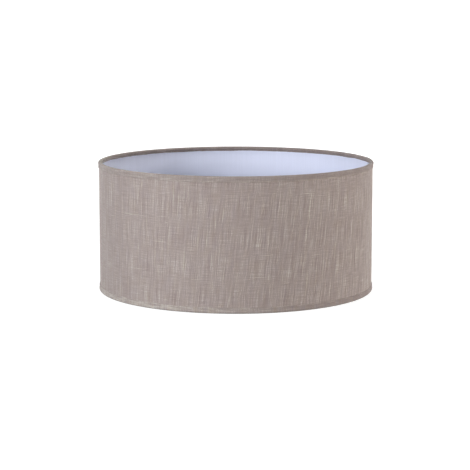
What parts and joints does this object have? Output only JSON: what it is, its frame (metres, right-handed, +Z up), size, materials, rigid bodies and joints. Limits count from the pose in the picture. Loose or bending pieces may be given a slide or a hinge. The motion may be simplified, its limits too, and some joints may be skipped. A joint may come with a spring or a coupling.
{
  "type": "lamp shade",
  "caption": "Straight drum lamp shade: fabric on a stiff liner, lapped at one side, with taped edges, two wire rings and a three-armed lampholder ring at the bottom.",
  "frame": {"origin": "centre of the plane that the shade's bottom edge stands on", "axes": "+Z up along the drum's axis, -Y towards the front; the panel's lap is 12 degrees behind +X"},
  "size_m": [0.4, 0.4, 0.188],
  "materials": {
    "linen_fabric": "slubbed plain weave, matt",
    "edge_fabric": "the same weave, folded double",
    "white_liner": "satin styrene sheet",
    "white_coated_steel": "white epoxy coating",
    "clear_adhesive": "dried glue"
  },
  "bodies": {
    "root": {"shade_liner": "white_liner", "fabric_cover": "linen_fabric", "seam_tape": "clear_adhesive", "top_ring": "white_coated_steel", "bottom_ring": "white_coated_steel", "top_ring_adhesive": "clear_adhesive", "bottom_ring_adhesive": "clear_adhesive", "top_edge_trim": "edge_fabric", "bottom_edge_trim": "edge_fabric", "fitter_ring": "white_coated_steel", "spider_welds": "white_coated_steel", "spider_arm_front": "white_coated_steel", "spider_arm_back_right": "white_coated_steel", "spider_arm_back_left": "white_coated_steel"}
  },
  "joints": []
}
